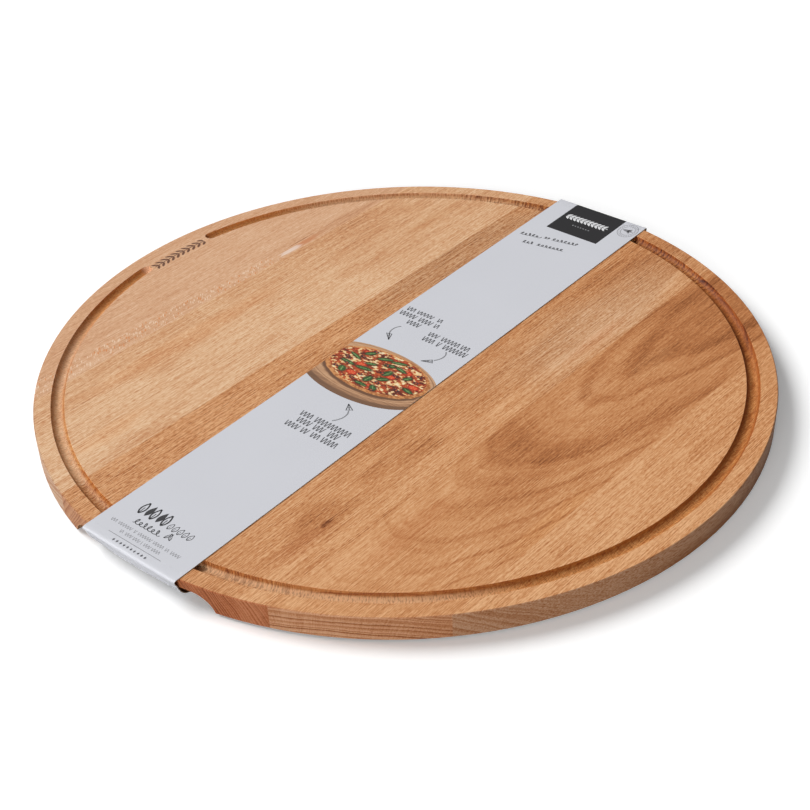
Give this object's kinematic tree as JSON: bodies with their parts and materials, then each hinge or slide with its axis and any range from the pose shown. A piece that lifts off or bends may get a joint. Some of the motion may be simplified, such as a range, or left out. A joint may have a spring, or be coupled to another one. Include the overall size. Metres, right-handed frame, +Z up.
{
  "type": "pizza serving board",
  "caption": "Round serving board glued up from beech staves, with a juice groove round the rim, finger grips under the edge and a card sleeve that slides off.",
  "frame": {"origin": "middle of the footprint, on the table that the sleeved board lies on", "axes": "+X from grip to grip along the sleeve, +Y towards the bare stretch of the groove, +Z up out of the serving face"},
  "size_m": [0.4422, 0.44, 0.0167],
  "materials": {
    "beech_stave_1": "oiled beech, pinkish tan",
    "beech_stave_2": "oiled beech, orange tan",
    "beech_stave_3": "oiled beech, orange brown",
    "beech_stave_4": "oiled beech, streaked brown",
    "beech_stave_5": "oiled beech, figured brown",
    "beech_stave_6": "oiled beech, light tan",
    "printed_card": "matt coated card, printed",
    "adhesive_tissue": "double-sided adhesive strip"
  },
  "bodies": {
    "board": {"stave_1": "beech_stave_1", "stave_2": "beech_stave_2", "stave_3": "beech_stave_3", "stave_4": "beech_stave_4", "stave_5": "beech_stave_5", "stave_6": "beech_stave_6"},
    "sleeve": {"card_sleeve": "printed_card", "seam_adhesive_strip": "adhesive_tissue"}
  },
  "joints": [
    {"name": "sleeve_slide", "type": "slide", "parent": "board", "child": "sleeve", "axis": [0, 1, 0], "range_m": [-0.2654, 0.2606]}
  ]
}
